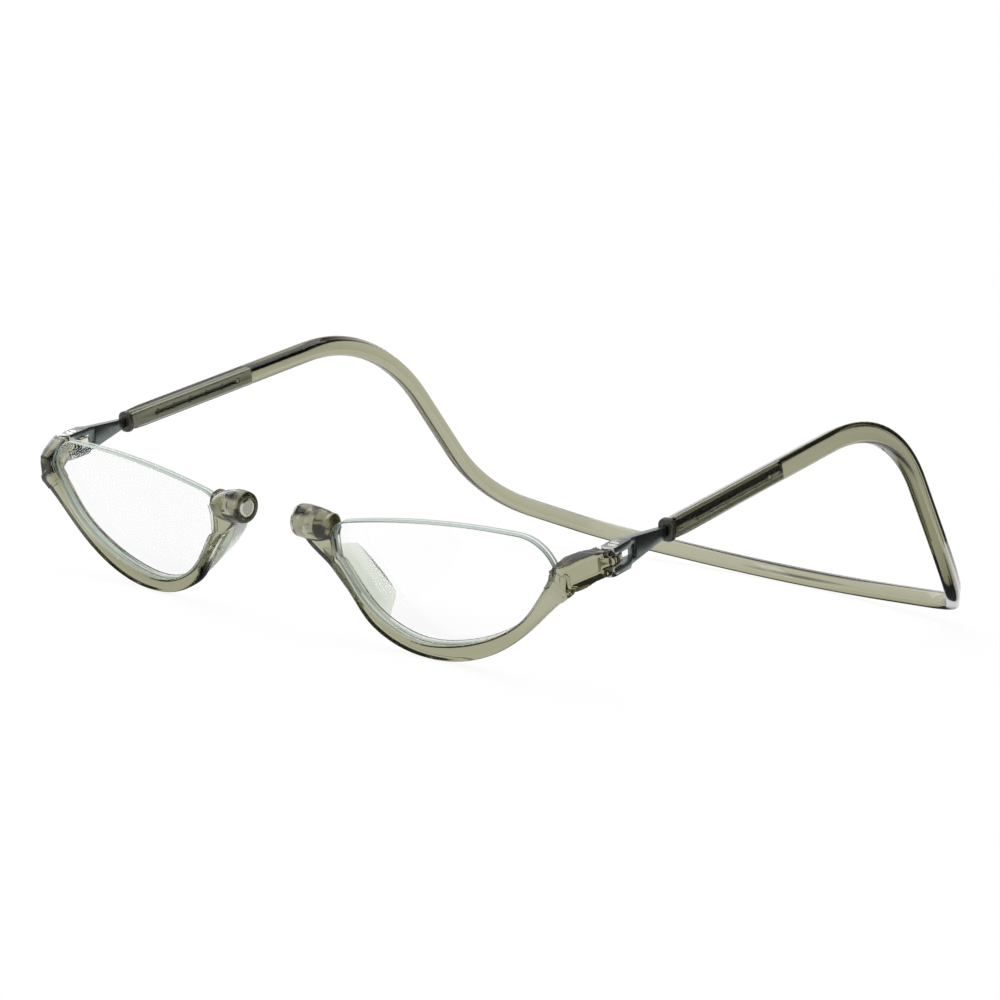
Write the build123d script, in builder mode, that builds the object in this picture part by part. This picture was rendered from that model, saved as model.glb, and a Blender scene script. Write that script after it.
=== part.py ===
from build123d import *
import os
from math import atan2, cos, degrees, radians, sin

os.makedirs("parts", exist_ok=True)

# Reading glasses that open at the nose: two half-rimmed fronts meet at a pair of magnets, and a springy
# one-piece band joins the two temples behind the head. The band is modelled as two halves.
# Millimetres. X points to the wearer's left, Y to the back of the head and Z up. Everything is drawn with
# the temples level and the hinge screws at Y 0, and is tilted at the end so that it stands on its own.

# How far the open glasses are sprung apart, and the small clearances
hinge_spread = 140.0
splay_angle = 1.73
front_angle = 2.77
lens_tilt = 2.0
bridge_gap = 0.3
nape_gap = 0.6
slip = 0.05
overrun = 1.0
tilt_rounds = 6
quarter_turn = 90

# Headband: a moulded strip that runs back, drops behind the ear and crosses the nape
band_height = 4.4
band_thickness = 3.3
band_corner = 1.05
band_drop = 2.6
band_offset = 0.5
sleeve_start = 17.5
ear_y = 102.4
ear_radius = 47.1
drop_x = 67.6
drop_y = 136.8
drop_z = 55.1
drop_radius = 54.1
side_x = 51.4
side_y = 168.0
side_z = 73.0
side_radius = 18.3
nape_y = 182.0
nape_z = 81.3
nape_radius = 94.1

# Sliding temple: guide in the band's hollow end, collar at its mouth, notches and pin
band_wall = 0.6
guide_wall = 0.45
guide_slot = 1.0
notch_diameter = 1.5
notch_first = 8.0
notch_pitch = 5.25
notch_count = 6
notch_last = 4.75
collar_length = 1.2
collar_lip = 0.12
collar_wall = 0.75
pin_diameter = 0.8
tail_slip = 0.1

# Temple arm: a metal plate that ends in two ears at the hinge
arm_height = 5.6
arm_thickness = 1.6
neck_height = 2.0
neck_thickness = 1.3
neck_length = 15.6
shoulder_length = 6.5
ear_thickness = 1.5
ear_width = 3.0
ear_reach = 2.9
ear_back = 3.2
ear_slot_back = 5.6

# Hinge screw
screw_diameter = 1.1
screw_head_diameter = 2.1
screw_head_height = 0.5
screw_driver_slot = 0.35
screw_end = 0.3
screw_slip = 0.04

# Front frame: half rim, end piece with the hinge knuckle, magnet pod and nose pad
rim_forward = 8.5
rim_depth = 3.4
rim_edge = 0.9
knuckle_slip = 0.15
seat_slip = 0.3
tongue_length = 3.2
tongue_thickness = 1.2
end_rise = 0.1
end_fall = 1.0
end_low = 6.3
end_lift = 1.5
end_inset = 3.6
end_waist = 2.5
end_edge = 0.5
end_corner = 1.5
end_reach = 6.2
pod_diameter = 7.0
pod_forward = 9.7
pod_drop = 1.4
pod_barrel = 5.4
pod_dome = 4.0
pod_edge = 0.7
pad_depth = 6.2
pad_flare = 1.6
pad_tip_rise = 1.6
pad_top_thickness = 2.6
pad_tip_thickness = 1.3
pad_tab_length = 4.0
pad_tab_thickness = 0.9
pad_tab_depth = 1.2

# Lens, its holding line and the magnet
lens_nose_inset = 8.3
lens_temple_inset = 6.4
lens_height = 26.3
lens_centre_drop = 9.15
lens_forward = 8.9
lens_edge = 1.8
lens_rise = 0.5
groove_depth = 0.6
line_diameter = 0.5
magnet_diameter = 3.9
magnet_length = 5.0
magnet_edge = 0.45

half_spread = hinge_spread / 2
band_x = half_spread + band_offset


def lens_point(across_share, up_share, grow=0):
    """A point of the lens outline in the front's plane, from shares of the lens's half width and height."""
    return (
        -lens_centre_in + across_share * (lens_width / 2 + grow),
        -lens_centre_drop + up_share * (lens_height / 2 + grow),
    )


# Places on the lens outline, as shares of its half width and half height from its centre
lens_top_shares = [(-0.875, 0.710), (-0.100, 0.915), (0.700, 0.955)]
lens_side_share = (1.0, 0.560)
lens_low_shares = [
    (0.945, 0.250),
    (0.740, -0.290),
    (0.420, -0.710),
    (0.030, -0.955),
    (-0.270, -0.985),
    (-0.560, -0.790),
    (-0.800, -0.370),
    (-0.965, 0.080),
]
lens_nose_share = (-1.0, 0.400)

# Places on the rim's outer edge, as shares of the same half sizes
rim_outer_shares = [
    (-1.225, 0.330),
    (-1.085, 0.010),
    (-0.930, -0.345),
    (-0.745, -0.730),
    (-0.500, -1.045),
    (-0.200, -1.185),
    (0.110, -1.150),
    (0.425, -0.935),
    (0.725, -0.535),
    (0.955, -0.105),
    (1.120, 0.175),
]
rim_end_share = (1.120, 0.520)
rim_top_shares = [(1.060, 0.610), (0.930, 0.520), (-0.930, 0.520), (-1.060, 0.680), (-1.225, 0.680)]

# Places on the nose pad, as shares of the same half sizes
pad_top_share = (-1.130, 0.220)
pad_low_share = (-0.600, -0.870)
pad_tip_share = 0.66


def lens_top(grow=0):
    """Upper edge of the lens: a corner at the nose, the brow and a corner at the temple."""
    brow = ThreePointArc(*[lens_point(*share, grow) for share in lens_top_shares])
    nose = TangentArc(brow @ 0, lens_point(*lens_nose_share, grow), tangent=-(brow % 0))
    temple = TangentArc(brow @ 1, lens_point(*lens_side_share, grow), tangent=brow % 1)
    return nose, temple


def lens_outline(grow=0):
    """Closed outline of the lens, larger all round by grow."""
    nose, temple = lens_top(grow)
    Spline(
        temple @ 1,
        *[lens_point(*share, grow) for share in lens_low_shares],
        nose @ 1,
        tangents=[temple % 1, -(nose % 1)],
    )


# The band's own line, its middle at the nape and the upright axis that it bends about
side_corner = Vector(side_x, side_y, -side_z)
nape_corner = Vector(0, nape_y, -nape_z)
nape_turn = radians((side_corner - nape_corner).get_angle(Vector(1, 0, 0)))
nape_inward = Vector(0, side_y - nape_y, nape_z - side_z).normalized()
nape_centre = nape_corner + nape_inward * (nape_radius / cos(nape_turn) - nape_radius)
flex_y = nape_centre.Y + band_height / 2

# The front's plane: its origin is on the hinge axis, X runs out to the temple, Y up the lens and Z forward
front_yaw = radians(splay_angle + front_angle)
front_lean = radians(lens_tilt)
closed_hinge_x = half_spread * cos(radians(splay_angle)) - flex_y * sin(radians(splay_angle))
reach = closed_hinge_x - bridge_gap / 2
# The lens lies between the pod's face and the hinge
lens_width = reach - lens_nose_inset - lens_temple_inset
lens_centre_in = lens_temple_inset + lens_width / 2
front = Plane(
    origin=(half_spread, 0, 0),
    x_dir=(cos(front_yaw), sin(front_yaw), 0),
    z_dir=(sin(front_yaw) * cos(front_lean), -cos(front_yaw) * cos(front_lean), -sin(front_lean)),
)
# Looking down the hinge axis: X runs out to the temple and Y to the back
front_top = Plane(origin=front.origin, x_dir=front.x_dir, z_dir=front.y_dir)

# Sizes that follow from the ones above
travel = notch_pitch * (notch_count - 1)
cavity_length = notch_first + travel + notch_last
cavity_end = sleeve_start + cavity_length
cavity_height = band_height - 2 * band_wall
cavity_thickness = band_thickness - 2 * band_wall
guide_height = cavity_height - 2 * slip
guide_thickness = cavity_thickness - 2 * slip
channel_height = guide_height - 2 * guide_wall
channel_thickness = guide_thickness - 2 * guide_wall
tail_height = channel_height - 2 * tail_slip
tail_thickness = channel_thickness - 2 * tail_slip
pin_y = sleeve_start + notch_first + travel
tail_end = pin_y + notch_diameter
knuckle_height = arm_height - 2 * ear_thickness - 2 * knuckle_slip
knuckle_top = ear_thickness + knuckle_slip
knuckle_radius = ear_width / 2
pad_top = Vector(*lens_point(*pad_top_share))
pad_low = Vector(*lens_point(*pad_low_share))
pad_middle = (pad_top + pad_low) / 2
pad_angle = degrees(atan2(pad_top.Y - pad_low.Y, pad_top.X - pad_low.X))
line_forward = lens_forward + lens_edge / 2
rim_front = rim_forward + rim_depth


def across(y):
    """Plane that cuts the left temple square at y, with X outward and Y up."""
    return Plane(origin=(band_x, y, -band_drop), x_dir=(1, 0, 0), z_dir=(0, -1, 0))


def headband():
    with BuildPart() as band:
        with BuildLine() as run:
            FilletPolyline(
                (band_x, sleeve_start, -band_drop),
                (band_x, ear_y, -band_drop),
                (drop_x, drop_y, -drop_z),
                side_corner,
                nape_corner,
                (-side_x, side_y, -side_z),
                radius=[ear_radius, drop_radius, side_radius, nape_radius],
            )
        with BuildSketch(across(sleeve_start)):
            RectangleRounded(band_thickness, band_height, band_corner)
        sweep(path=run.wires()[0])
        split(bisect_by=Plane.YZ.offset(nape_gap / 2), keep=Keep.TOP)
        with BuildSketch(across(cavity_end)):
            Rectangle(cavity_thickness, cavity_height)
        extrude(amount=cavity_length + overrun, mode=Mode.SUBTRACT)
    return band


def slide_guide():
    with BuildPart() as guide:
        with BuildSketch(across(cavity_end - slip)):
            Rectangle(guide_thickness, guide_height)
            Rectangle(channel_thickness, channel_height, mode=Mode.SUBTRACT)
        extrude(amount=cavity_length - slip)
        side = Plane(origin=(band_x, pin_y, -band_drop), x_dir=(0, -1, 0), z_dir=(1, 0, 0))
        with BuildSketch(side):
            with Locations((travel / 2, 0)):
                SlotCenterToCenter(travel, guide_slot)
            with Locations(*[(notch_pitch * count, 0) for count in range(notch_count)]):
                Circle(notch_diameter / 2)
        extrude(amount=guide_thickness, both=True, mode=Mode.SUBTRACT)
    return guide


def sleeve_collar():
    with BuildPart() as collar:
        with BuildSketch(across(sleeve_start - slip)):
            RectangleRounded(band_thickness + 2 * collar_lip, band_height + 2 * collar_lip, band_corner)
        extrude(amount=collar_length)
        fillet(collar.faces().sort_by(Axis.Y)[0].edges(), collar_lip * 2)
        with BuildSketch(across(sleeve_start)):
            Rectangle(band_thickness - 2 * collar_wall, band_height - 2 * collar_wall)
        extrude(amount=collar_length + overrun, mode=Mode.SUBTRACT)
    return collar


def temple_arm():
    upright = Plane(origin=(half_spread, 0, 0), x_dir=(0, 1, 0), z_dir=(1, 0, 0))
    neck_top = -band_drop + neck_height / 2
    with BuildPart() as arm:
        # side view of the plate, then its plan, which narrows to the neck
        with BuildSketch(upright):
            with BuildLine():
                Polyline(
                    (neck_length, neck_top),
                    (neck_length, neck_top - neck_height),
                    (ear_back, -arm_height),
                    (-ear_reach, -arm_height),
                    (-ear_reach, 0),
                    (ear_back, 0),
                    close=True,
                )
            make_face()
        extrude(amount=ear_width + band_offset, both=True)
        with BuildSketch(Plane.XY.offset(-arm_height)):
            with BuildLine():
                Polyline(
                    (half_spread - ear_width / 2, -ear_reach + ear_width / 2),
                    (half_spread - ear_width / 2, ear_back),
                    (half_spread - arm_thickness / 2, ear_back + ear_width / 2),
                    (half_spread - arm_thickness / 2, shoulder_length),
                    (band_x - neck_thickness / 2, neck_length),
                    (band_x + neck_thickness / 2, neck_length),
                    (half_spread + arm_thickness / 2, shoulder_length),
                    (half_spread + arm_thickness / 2, ear_back + ear_width / 2),
                    (half_spread + ear_width / 2, ear_back),
                    (half_spread + ear_width / 2, -ear_reach + ear_width / 2),
                )
                ThreePointArc(
                    (half_spread + ear_width / 2, -ear_reach + ear_width / 2),
                    (half_spread, -ear_reach),
                    (half_spread - ear_width / 2, -ear_reach + ear_width / 2),
                )
            make_face()
        extrude(amount=arm_height, mode=Mode.INTERSECT)
        # tail that runs in the guide, with the hole of the detent pin
        with BuildSketch(across(tail_end)):
            Rectangle(tail_thickness, tail_height)
        extrude(amount=tail_end - neck_length + overrun)
        with BuildSketch(Plane(origin=(band_x, pin_y, -band_drop), x_dir=(0, 1, 0), z_dir=(1, 0, 0))):
            Circle(pin_diameter / 2 + screw_slip)
        extrude(amount=tail_thickness, both=True, mode=Mode.SUBTRACT)
        # gap between the ears, screw hole and the seat of the screw head
        with BuildSketch(upright):
            with Locations(((ear_slot_back - ear_reach) / 2, -arm_height / 2)):
                Rectangle(ear_slot_back + ear_reach, arm_height - 2 * ear_thickness)
        extrude(amount=ear_width, both=True, mode=Mode.SUBTRACT)
        with BuildSketch(front_top.offset(overrun)):
            Circle(screw_diameter / 2 + screw_slip)
        extrude(amount=-arm_height - 2 * overrun, mode=Mode.SUBTRACT)
        with BuildSketch(front_top.offset(overrun)):
            Circle(screw_head_diameter / 2 + screw_slip)
        extrude(amount=-overrun - screw_head_height, mode=Mode.SUBTRACT)
    return arm


def hinge_screw():
    with BuildPart() as screw:
        with BuildSketch(front_top.offset(-screw_head_height)):
            Circle(screw_head_diameter / 2)
        extrude(amount=screw_head_height)
        with BuildSketch(front_top.offset(-screw_head_height)):
            Circle(screw_diameter / 2)
        extrude(amount=-arm_height + screw_head_height + screw_end)
        with BuildSketch(front_top):
            Rectangle(screw_head_diameter + overrun, screw_driver_slot)
        extrude(amount=-screw_head_height / 2, mode=Mode.SUBTRACT)
    return screw


def detent_pin():
    with BuildPart() as pin:
        with BuildSketch(Plane(origin=(band_x, pin_y, -band_drop), x_dir=(0, 1, 0), z_dir=(1, 0, 0))):
            Circle(pin_diameter / 2)
        extrude(amount=guide_thickness / 2 - slip, both=True)
    return pin


def pad_section(height_share, thickness, shift, rise):
    """Leaf-shaped section of the nose pad: height_share of its length, moved outward by shift and
    up along the leaf by rise."""
    half = (pad_top - pad_low) * (height_share / 2)
    middle = pad_middle + Vector(shift, 0) + half.normalized() * rise
    side = Vector(-half.Y, half.X).normalized() * (thickness / 2)
    ThreePointArc(middle + half, middle + side, middle - half)
    ThreePointArc(middle - half, middle - side, middle + half)


def nose_pad():
    with BuildPart() as pad:
        with BuildSketch(front.offset(rim_forward - slip)):
            with BuildLine():
                pad_section(1, pad_top_thickness, 0, 0)
            make_face()
        with BuildSketch(front.offset(rim_forward - pad_depth)):
            with BuildLine():
                pad_section(pad_tip_share, pad_tip_thickness, pad_flare, pad_tip_rise)
            make_face()
        loft()
        # tab that plugs into the rim
        with BuildSketch(front.offset(rim_forward - slip)):
            with Locations(Location(pad_middle, (0, 0, pad_angle))):
                Rectangle(pad_tab_length, pad_tab_thickness)
        extrude(amount=pad_tab_depth)
    return pad


def end_piece():
    """Block that turns the corner from the rim to the hinge and carries the knuckle."""
    side = Plane(origin=front.origin, x_dir=-front.z_dir, z_dir=front.x_dir)
    shoulder = ear_reach + seat_slip
    with BuildPart() as end:
        with BuildSketch(front_top.offset(end_rise)):
            with BuildLine():
                FilletPolyline(
                    (-end_reach, -rim_front + end_edge),
                    (-end_reach, -rim_front),
                    (-end_inset, -rim_front),
                    (knuckle_radius, -shoulder),
                    (knuckle_radius, 0),
                    (-knuckle_radius, 0),
                    (-end_waist, -shoulder),
                    (-end_reach + end_edge, -rim_forward),
                    radius=[0, 0, end_corner, end_corner, 0, 0, end_corner, end_edge],
                    close=True,
                )
            make_face()
        extrude(amount=-arm_height - overrun)
        with BuildSketch(side):
            with BuildLine():
                Polyline(
                    (0, end_rise),
                    (-shoulder, end_rise),
                    (-rim_front, -end_fall),
                    (-rim_front, -end_low),
                    (-shoulder, -end_low + end_lift),
                    (0, -end_low + end_lift),
                    close=True,
                )
            make_face()
        extrude(amount=end_reach, both=True, mode=Mode.INTERSECT)
        # room for the two ears of the arm, above and below the knuckle
        with BuildSketch(front_top.offset(end_rise + overrun)):
            Circle(shoulder)
        extrude(amount=-end_rise - overrun - knuckle_top, mode=Mode.SUBTRACT)
        with BuildSketch(front_top.offset(-knuckle_top - knuckle_height)):
            Circle(shoulder)
        extrude(amount=-arm_height, mode=Mode.SUBTRACT)
        # knuckle, with a tongue that shows in the window of the arm
        with BuildSketch(front_top.offset(-knuckle_top)):
            Circle(knuckle_radius)
            with Locations((-arm_thickness / 2 - slip - tongue_thickness / 2, tongue_length / 2)):
                Rectangle(tongue_thickness, tongue_length)
        extrude(amount=-knuckle_height)
        with BuildSketch(front_top):
            Circle(screw_diameter / 2 + screw_slip)
        extrude(amount=-arm_height, mode=Mode.SUBTRACT)
    return end


def front_frame():
    pod_plane = front.offset(pod_forward)
    pod_face = Plane(
        origin=pod_plane.from_local_coords((-reach, -pod_drop)), x_dir=front.y_dir, z_dir=-front.x_dir
    )
    end = end_piece()
    with BuildPart() as frame:
        # half rim, its long outer edges rounded before the lens opening is cut
        with BuildSketch(front.offset(rim_forward)):
            with BuildLine():
                outer = Spline(*[lens_point(*share) for share in rim_outer_shares])
                Polyline(
                    outer @ 1,
                    lens_point(*rim_end_share),
                    *[lens_point(*share) for share in rim_top_shares],
                    outer @ 0,
                )
            make_face()
        extrude(amount=rim_depth)
        fillet(frame.edges().filter_by(GeomType.BSPLINE), rim_edge)
        add(end.part)
        # magnet pod: a barrel with a domed back
        with BuildSketch(pod_plane):
            with BuildLine():
                face = Line((-reach, -pod_drop), (-reach, -pod_drop + pod_diameter / 2 - pod_edge))
                edge = TangentArc(
                    face @ 1, (-reach + pod_edge, -pod_drop + pod_diameter / 2), tangent=face % 1
                )
                barrel = Line(edge @ 1, (-reach + pod_barrel, -pod_drop + pod_diameter / 2))
                back = EllipticalCenterArc(
                    (-reach + pod_barrel, -pod_drop), pod_dome, pod_diameter / 2, arc_size=quarter_turn
                )
                Line(back @ 0, face @ 0)
            make_face()
        revolve(axis=Axis(pod_face.origin, front.x_dir))
        # lens opening, through the rim and the pod
        with BuildSketch(front.offset(pod_forward - pod_diameter)):
            with BuildLine():
                lens_outline(-groove_depth)
            make_face()
        extrude(amount=2 * pod_diameter, mode=Mode.SUBTRACT)
        # pocket for the tab of the nose pad
        with BuildSketch(front.offset(rim_forward)):
            with Locations(Location(pad_middle, (0, 0, pad_angle))):
                Rectangle(pad_tab_length + 2 * slip, pad_tab_thickness + 2 * slip)
        extrude(amount=pad_tab_depth, mode=Mode.SUBTRACT)
        # groove that holds the lens
        with BuildSketch(front.offset(lens_forward - slip)):
            with BuildLine():
                lens_outline(slip)
            make_face()
        extrude(amount=lens_edge + lens_rise + 2 * slip, mode=Mode.SUBTRACT)
        # pocket for the magnet
        with BuildSketch(pod_face):
            Circle(magnet_diameter / 2 + slip)
        extrude(amount=-magnet_length - slip, mode=Mode.SUBTRACT)
    return frame


def bridge_magnet():
    face = Plane(
        origin=front.offset(pod_forward).from_local_coords((-reach, -pod_drop)),
        x_dir=front.y_dir,
        z_dir=-front.x_dir,
    )
    with BuildPart() as magnet:
        with BuildSketch(face):
            Circle(magnet_diameter / 2)
        extrude(amount=-magnet_length)
        chamfer(magnet.faces().filter_by(GeomType.PLANE).sort_by(Axis.X)[0].edges(), magnet_edge)
    return magnet


def lens():
    far = lens_width / 2
    curve_radius = (far * far + lens_rise * lens_rise) / (2 * lens_rise)
    middle = front.offset(lens_forward + lens_edge + lens_rise - curve_radius)
    with BuildPart() as glass:
        with BuildSketch(front.offset(lens_forward)):
            with BuildLine():
                lens_outline()
            make_face()
        extrude(amount=lens_edge + lens_rise)
        with Locations(Location(middle.from_local_coords((-lens_centre_in, -lens_centre_drop)))):
            Sphere(curve_radius, mode=Mode.INTERSECT)
        # groove round the edge for the holding line
        with BuildSketch(front.offset(line_forward - line_diameter / 2 - slip)):
            with BuildLine():
                lens_outline(overrun)
            make_face()
            with BuildLine():
                lens_outline(-line_diameter - slip)
            make_face(mode=Mode.SUBTRACT)
        extrude(amount=line_diameter + 2 * slip, mode=Mode.SUBTRACT)
    return glass


def lens_line():
    """Clear line that holds the lens, sunk in its groove along the brow."""
    with BuildPart() as line:
        with BuildLine(front.offset(line_forward)) as run:
            lens_top(-line_diameter / 2)
        path = run.wires()[0]
        with BuildSketch(Plane(origin=path @ 0, z_dir=path % 0)):
            Circle(line_diameter / 2)
        sweep(path=path)
    return line


# The same left-hand pieces serve both sides: the right-hand ones are their mirror image
makers = {
    "headband": headband,
    "slide_guide": slide_guide,
    "sleeve_collar": sleeve_collar,
    "temple_arm": temple_arm,
    "hinge_screw": hinge_screw,
    "detent_pin": detent_pin,
    "front_frame": front_frame,
    "lens": lens,
    "lens_line": lens_line,
    "bridge_magnet": bridge_magnet,
    "nose_pad": nose_pad,
}
left = {name: make() for name, make in makers.items()}

# The glasses rest on the lower edges of the rims and on the nape of the band: the tilt that levels the two
tilt = 0
for turn in range(tilt_rounds):
    rim_box = left["front_frame"].part.rotate(Axis.X, tilt).bounding_box()
    band_box = left["headband"].part.rotate(Axis.X, tilt).bounding_box()
    tilt += degrees(atan2(rim_box.min.Z - band_box.min.Z, band_box.max.Y - rim_box.min.Y))
stand = Pos(0, -(rim_box.min.Y + band_box.max.Y) / 2, -rim_box.min.Z) * Rot(tilt, 0, 0)

for name, piece in left.items():
    with BuildPart() as left_piece:
        add(stand * piece.part)
    with BuildPart() as right_piece:
        mirror(left_piece.part, about=Plane.YZ)
    for side, made in (("left", left_piece), ("right", right_piece)):
        made.part.label = f"{side}_{name}"
        export_step(made.part, f"parts/{side}_{name}.step")
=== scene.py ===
"""Reading glasses that part at the nose: the looks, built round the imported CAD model."""
from math import acos, radians, tan

import bpy
from mathutils import Matrix, Vector


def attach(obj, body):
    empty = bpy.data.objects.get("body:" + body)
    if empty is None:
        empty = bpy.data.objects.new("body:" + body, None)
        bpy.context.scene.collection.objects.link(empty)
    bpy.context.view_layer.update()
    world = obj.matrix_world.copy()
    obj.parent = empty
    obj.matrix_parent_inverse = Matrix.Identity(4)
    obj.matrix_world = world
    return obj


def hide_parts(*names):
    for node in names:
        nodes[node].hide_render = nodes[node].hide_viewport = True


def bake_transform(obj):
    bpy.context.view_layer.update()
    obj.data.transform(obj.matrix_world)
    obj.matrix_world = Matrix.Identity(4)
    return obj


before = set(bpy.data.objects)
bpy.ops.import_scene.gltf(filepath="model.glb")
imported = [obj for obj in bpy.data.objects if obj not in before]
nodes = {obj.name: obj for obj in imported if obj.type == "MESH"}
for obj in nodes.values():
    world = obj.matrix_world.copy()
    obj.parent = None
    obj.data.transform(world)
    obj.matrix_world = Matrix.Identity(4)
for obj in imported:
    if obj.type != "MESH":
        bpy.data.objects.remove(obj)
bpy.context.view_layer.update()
bpy.ops.object.select_all(action="DESELECT")

MM = 0.001
# Points nearer to each other than this are merged
MERGE = 0.002 * MM

# How the level glasses, hinge screws at Y 0, are tilted to stand on the rims and the nape
STAND_MOVE = (0, -0.0890254, 0.0278234)
STAND_TILT = 16.39397
ON_STAND = Matrix.Translation(STAND_MOVE) @ Matrix.Rotation(radians(STAND_TILT), 4, "X")
# The left front's own axes: from the hinge axis X runs out to the temple, Y up the lens and Z forward. The
# hinge's place is in metres, and the turns that lay the axes are in degrees.
HINGE_X = 0.070
FRONT_SPLAY = 4.5
FRONT_TURN = 92
ON_FRONT = (ON_STAND @ Matrix.Translation((HINGE_X, 0, 0))
            @ Matrix.Rotation(radians(FRONT_SPLAY), 4, "Z") @ Matrix.Rotation(radians(FRONT_TURN), 4, "X"))
MIRROR = Matrix.Diagonal((-1, 1, 1, 1))

# Sizes of the band and its sleeves, as in the CAD part, in millimetres
BAND_X = 70.5
BAND_DROP = 2.6
BAND_THICKNESS = 3.3
BAND_HEIGHT = 4.4
SLEEVE_START = 17.5
CAVITY_LENGTH = 39.0
CAVITY_THICKNESS = 2.1
CAVITY_HEIGHT = 3.2


# Working with pieces

# A vertex with a smaller share than this isn't softened
LEAST_SHARE = 0.01
# Triangles that turn less than this, in degrees, count as one flat face
FLAT = 2


def pick(piece):
    """Makes the piece the active one and the only one selected."""
    bpy.ops.object.select_all(action="DESELECT")
    piece.select_set(True)
    bpy.context.view_layer.objects.active = piece


def settle(piece):
    """Moves the object's place, turn and size into its mesh."""
    pick(piece)
    bpy.ops.object.transform_apply(location=True, rotation=True, scale=True)
    return piece


def put_on_stand(piece):
    """Tilts a piece that was made with the glasses level."""
    settle(piece)
    piece.matrix_world = ON_STAND
    return settle(piece)


def apply_modifier(piece, kind, **settings):
    pick(piece)
    bpy.ops.object.modifier_add(type=kind)
    modifier = piece.modifiers[-1]
    for name, value in settings.items():
        setattr(modifier, name, value)
    bpy.ops.object.modifier_apply(modifier=modifier.name)


def even_out(piece, iterations, **settings):
    """Evens out the surface, all over unless the settings name a vertex group."""
    apply_modifier(piece, "SMOOTH", factor=0.5, iterations=iterations, **settings)


def ease(value, low, high):
    """0 at low, 1 at high and a soft step between."""
    share = min(1.0, max(0.0, (value - low) / (high - low)))
    return share * share * (3 - 2 * share)


def soften(piece, weight, iterations):
    """Evens out the piece by the share that weight gives for a vertex's place in millimetres."""
    group = piece.vertex_groups.new(name="softened")
    for vertex in piece.data.vertices:
        share = weight(vertex.co / MM)
        if share > LEAST_SHARE:
            group.add([vertex.index], share, "REPLACE")
    even_out(piece, iterations, vertex_group="softened")
    piece.vertex_groups.clear()


def select_faces(piece, wanted):
    """Leaves the piece in edit mode with only the faces selected whose middle and normal are wanted."""
    bpy.ops.object.mode_set(mode="OBJECT")
    for part in (piece.data.vertices, piece.data.edges, piece.data.polygons):
        part.foreach_set("select", [False] * len(part))
    for face in piece.data.polygons:
        face.select = wanted(face.center, face.normal)
    bpy.ops.object.mode_set(mode="EDIT")
    bpy.ops.mesh.select_mode(type="FACE")


def copy_of_node(node, name):
    """A copy of a CAD node's mesh, its loose triangles joined."""
    piece = bpy.data.objects.new(name, nodes[node].data.copy())
    bpy.context.scene.collection.objects.link(piece)
    pick(piece)
    bpy.ops.mesh.customdata_custom_splitnormals_clear()
    bpy.ops.object.mode_set(mode="EDIT")
    bpy.ops.mesh.select_all(action="SELECT")
    bpy.ops.mesh.remove_doubles(threshold=MERGE)
    bpy.ops.object.mode_set(mode="OBJECT")
    return piece


def join_flat_faces(piece):
    """Joins the triangles that lie in one plane, so that only real edges are left."""
    pick(piece)
    bpy.ops.object.mode_set(mode="EDIT")
    bpy.ops.mesh.select_all(action="SELECT")
    bpy.ops.mesh.dissolve_limited(angle_limit=radians(FLAT))
    bpy.ops.object.mode_set(mode="OBJECT")


def mirrored(piece, name):
    """The other side's copy of a finished piece, with its own mesh."""
    other = bpy.data.objects.new(name, piece.data.copy())
    bpy.context.scene.collection.objects.link(other)
    other.data.transform(MIRROR)
    other.data.flip_normals()
    return other


def smooth(piece, angle):
    """Shades the piece smooth, except over edges that turn more than angle in degrees."""
    pick(piece)
    bpy.ops.object.shade_smooth_by_angle(angle=radians(angle))


def dress(piece, *finishes):
    """Gives the piece these finishes in place of any that it has."""
    piece.data.materials.clear()
    for finish in finishes:
        piece.data.materials.append(finish)


def finish_side_pair(piece, name, body, node):
    """Puts a left piece and its mirror image on their bodies, in the place of their CAD nodes."""
    other = mirrored(piece, "right_" + name)
    for side, made in (("left", piece), ("right", other)):
        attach(made, f"{side}_{body}")
        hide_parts(f"{side}_{node}")


# Nodes that the finishes, the floor and the world are built from

def add_node(tree, kind, inputs=(), **settings):
    """A node with its settings, and what is plugged into or set on its inputs."""
    node = tree.nodes.new(kind)
    for name, value in settings.items():
        setattr(node, name, value)
    for key, value in dict(inputs).items():
        if isinstance(value, bpy.types.NodeSocket):
            tree.links.new(value, node.inputs[key])
        else:
            node.inputs[key].default_value = value
    return node


def object_place(tree):
    return add_node(tree, "ShaderNodeTexCoord").outputs["Object"]


def axis(tree, place, letter):
    return add_node(tree, "ShaderNodeSeparateXYZ", {0: place}).outputs[letter]


def turned_place(tree, place, turn, stretch=(1, 1, 1)):
    return add_node(tree, "ShaderNodeMapping", {
        "Vector": place, "Rotation": turn, "Scale": stretch}).outputs[0]


def noise(tree, place, scale, **settings):
    return add_node(tree, "ShaderNodeTexNoise", {"Vector": place, "Scale": scale, **settings}).outputs[0]


def maths(tree, operation, *values, use_clamp=False):
    return add_node(tree, "ShaderNodeMath", dict(enumerate(values)), operation=operation,
                    use_clamp=use_clamp).outputs[0]


def ramp(tree, value, low, high, start=0.0, stop=1.0, kind="LINEAR"):
    """Goes from start to stop while value goes from low to high."""
    return add_node(tree, "ShaderNodeMapRange", {
        "Value": value, "From Min": low, "From Max": high, "To Min": start, "To Max": stop},
        interpolation_type=kind).outputs[0]


def soft_step(tree, value, low, high):
    return ramp(tree, value, low, high, kind="SMOOTHSTEP")


def mix_colours(tree, share, first, second):
    """The Mix node's inputs 6 and 7 and its output 2 are those for colours."""
    return add_node(tree, "ShaderNodeMix", {0: share, 6: first, 7: second}, data_type="RGBA").outputs[2]


def mix_shaders(tree, share, first, second):
    return add_node(tree, "ShaderNodeMixShader", {0: share, 1: first, 2: second}).outputs[0]


def grey(level):
    return (level, level, level, 1)


# Effects that several finishes share

# The middle of what a noise gives
NOISE_MIDDLE = 0.5
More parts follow.
